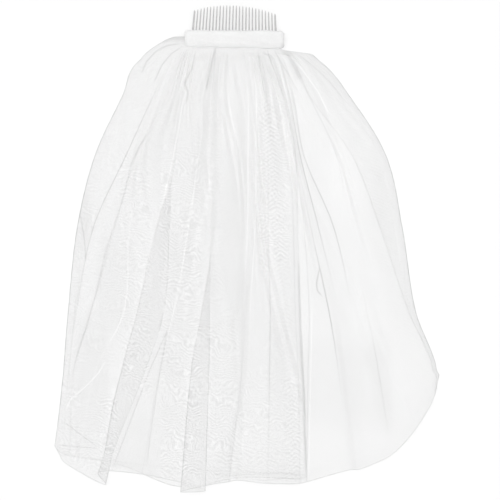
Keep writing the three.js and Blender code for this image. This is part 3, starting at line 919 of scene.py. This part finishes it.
def makeBandMaterial():
    material, tree, shader = newMaterial("bandCloth", band["roughness"])
    shader.inputs["Sheen Weight"].default_value = band["sheen"]
    place = addNode(tree, "ShaderNodeTexCoord")
    fibre = addNode(tree, "ShaderNodeTexNoise", band["fibre"], {"Vector": place.outputs["Object"]})
    cloud = addNode(tree, "ShaderNodeTexNoise", band["cloud"], {"Vector": place.outputs["Object"]})
    tone = addNode(tree, "ShaderNodeMix", {0: band["cloudShare"]},
                   {2: fibre.outputs["Fac"], 3: cloud.outputs["Fac"]}, data_type="FLOAT")
    ramp = addNode(tree, "ShaderNodeValToRGB", links={"Fac": tone.outputs[0]})
    ramp.color_ramp.elements[0].color = grey(band["dark"])
    ramp.color_ramp.elements[0].position = band["darkAt"]
    ramp.color_ramp.elements[1].color = grey(band["pale"])
    ramp.color_ramp.elements[1].position = band["paleAt"]
    # painted light: where the band's surface turns down towards the tulle (normal towards -y), its
    # colour is mixed towards a paler grey
    facing = apart(tree, place.outputs["Normal"])
    turned = addNode(tree, "ShaderNodeMapRange",
                     {"From Min": band["paintedLightFrom"], "From Max": band["paintedLightTo"],
                      "To Min": 0.0, "To Max": band["paintedLightShare"]}, {"Value": facing["Y"]})
    paler = addNode(tree, "ShaderNodeMix", {7: grey(band["paintedLightWhite"])},
                    {0: turned.outputs["Result"], 6: ramp.outputs["Color"]}, data_type="RGBA")
    tree.links.new(paler.outputs[2], shader.inputs["Base Color"])
    bump = addNode(tree, "ShaderNodeBump", {"Strength": band["felt"], "Distance": band["feltDepth"]},
                   {"Height": fibre.outputs["Fac"]})
    tree.links.new(bump.outputs["Normal"], shader.inputs["Normal"])
    return material


def makeBand():
    # a wrapped strip: it runs from its inner lower edge, over the top and back under
    shape = np.array(bandShape)
    share = np.linspace(0, 1, band["along"])
    low = mix(bandFrame["lowLeft"], bandFrame["lowRight"], share)
    top = mix(bandFrame["topLeft"], bandFrame["topRight"], share)
    high = np.interp(share, shape[:, 0], shape[:, 1]) * (top - low) / 2
    thick = np.interp(share, shape[:, 0], shape[:, 2]) * bandFrame["thick"] / 2
    x0 = bandFrame["middleX"] - bandFrame["length"] / 2
    x = x0 + share * bandFrame["length"]
    angle = np.linspace(math.radians(-band["wrap"]), math.radians(band["wrap"]), band["around"])
    c, s = np.cos(angle), np.sin(angle)
    points = []
    middleY = (low + top) / 2
    edgeWaves, edgeSeed = bandCreases["edge"]
    for i in range(band["along"]):
        y = middleY[i] + high[i] * np.sign(c) * np.abs(c) ** band["squareY"]
        z = bandFrame["thick"] / 2 + thick[i] * np.sign(s) * np.abs(s) ** band["squareZ"]
        # soft creases run along the strip and slant across it
        lengthwise, slanting = [noiseWave(share[i] * down + c * around, seed) for down, around, seed
                                in (bandCreases["lengthwise"], bandCreases["slanting"])]
        crease = lengthwise + bandCreases["slantShare"] * slanting
        deep = band["creaseDepth"] * (crease - band["creaseLevel"])
        z = z + np.sign(s) * deep * np.abs(s)
        edge = noiseWave(np.full_like(c, share[i] * edgeWaves), edgeSeed)
        y = y + band["edgeWander"] * edge * c
        points.append(np.stack([np.full_like(y, x[i]), y, z], axis=1))
    grid = np.array(points)
    grid[:, :, 2] = np.clip(grid[:, :, 2], band["lowest"], band["highest"])
    piece = makeMesh("bandWrap", grid.reshape(-1, 3) * mm, gridFaces(band["along"], band["around"]),
                     [makeBandMaterial()])
    solid = piece.modifiers.new("wall", "SOLIDIFY")
    solid.thickness = band["wall"] * mm
    solid.offset = -1
    return piece


# The clear plastic of the comb: greys of its cloudy body, how much of it shows, and how it
# bends the light.
plastic = {"dark": 0.05, "pale": 0.12, "cloud": {"Scale": 220.0, "Detail": 2.0}, "shows": 0.27,
           "bends": 1.49, "roughness": 0.25}


def makeCombMaterial():
    material, tree, shader = newMaterial("clearComb", plastic["roughness"])
    place = addNode(tree, "ShaderNodeTexCoord")
    cloud = addNode(tree, "ShaderNodeTexNoise", plastic["cloud"],
                    {"Vector": place.outputs["Object"]})
    ramp = addNode(tree, "ShaderNodeValToRGB", links={"Fac": cloud.outputs["Fac"]})
    ramp.color_ramp.elements[0].color = grey(plastic["dark"])
    ramp.color_ramp.elements[1].color = grey(plastic["pale"])
    tree.links.new(ramp.outputs["Color"], shader.inputs["Base Color"])
    shader.inputs["IOR"].default_value = plastic["bends"]
    clear = addNode(tree, "ShaderNodeBsdfTransparent")
    whole = addNode(tree, "ShaderNodeMixShader", {"Fac": plastic["shows"]},
                    {1: clear.outputs[0], 2: shader.outputs[0]})
    tree.links.new(whole.outputs[0], tree.nodes["Material Output"].inputs["Surface"])
    return material


def makeStage():
    floorMaterial, tree, shader = newMaterial("paleFloor", light["floorRoughness"])
    shader.inputs["Base Color"].default_value = grey(light["floorWhite"])
    shader.inputs["Specular IOR Level"].default_value = 0.0
    half = light["floorHalf"]
    corners = [(-half, -half, 0), (half, -half, 0), (half, half, 0), (-half, half, 0)]
    floor = makeMesh("floor", corners, [(0, 1, 2, 3)], [floorMaterial], smooth=False)
    world = bpy.data.worlds.new("softWhite")
    world.use_nodes = True
    world.node_tree.nodes["Background"].inputs["Color"].default_value = (1, 1, 1, 1)
    world.node_tree.nodes["Background"].inputs["Strength"].default_value = light["world"]
    bpy.context.scene.world = world
    for look in light["lamps"]:
        lamp = bpy.data.lights.new(look["name"], "SUN")
        lamp.energy = look["strength"]
        lamp.angle = math.radians(look["angle"])
        stand = bpy.data.objects.new(look["name"], lamp)
        bpy.context.collection.objects.link(stand)
        x, y, z = look["towards"]
        lean = math.atan2(math.hypot(x, y), z)
        stand.rotation_euler = (lean, 0, math.atan2(y, x) + math.pi / 2)
    scene = bpy.context.scene
    scene.view_settings.view_transform = "Standard"
    # light goes back and forth between the layers of the net many times
    scene.cycles.max_bounces = light["bounces"]
    scene.cycles.diffuse_bounces = light["bounces"]
    scene.cycles.transmission_bounces = light["bounces"]
    scene.cycles.transparent_max_bounces = light["bounces"]


def makeCamera():
    camera = bpy.data.cameras.new("fromAbove")
    reach = view["imageSide"] * view["pixelSize"] * mm
    height = view["cameraHeight"] * mm
    camera.angle = 2 * math.atan(reach / 2 / height)
    lens = bpy.data.objects.new("fromAbove", camera)
    bpy.context.collection.objects.link(lens)
    half = view["imageSide"] / 2
    lens.location = ((half - view["centreColumn"]) * view["pixelSize"] * mm,
                     (view["centreRow"] - half) * view["pixelSize"] * mm, height)
    bpy.context.scene.camera = lens


makeCamera()
makeStage()
print("stage, camera and light are ready")

veilTulle, clothGrid = makeVeil()
hemThread = makeHem(clothGrid)
for piece in (veilTulle, hemThread):
    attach(piece, "root")
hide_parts("tulle")
print("tulle and its hem are ready")

bandWrap = makeBand()
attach(bandWrap, "root")
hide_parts("band")
print("band is ready")

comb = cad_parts["comb"]
comb.data.materials.clear()
comb.data.materials.append(makeCombMaterial())
print("comb is ready")

# the light of the photograph is so even that nothing in it throws a shadow
for piece in (veilTulle, hemThread, bandWrap, comb):
    piece.visible_shadow = False

bpy.context.view_layer.update()
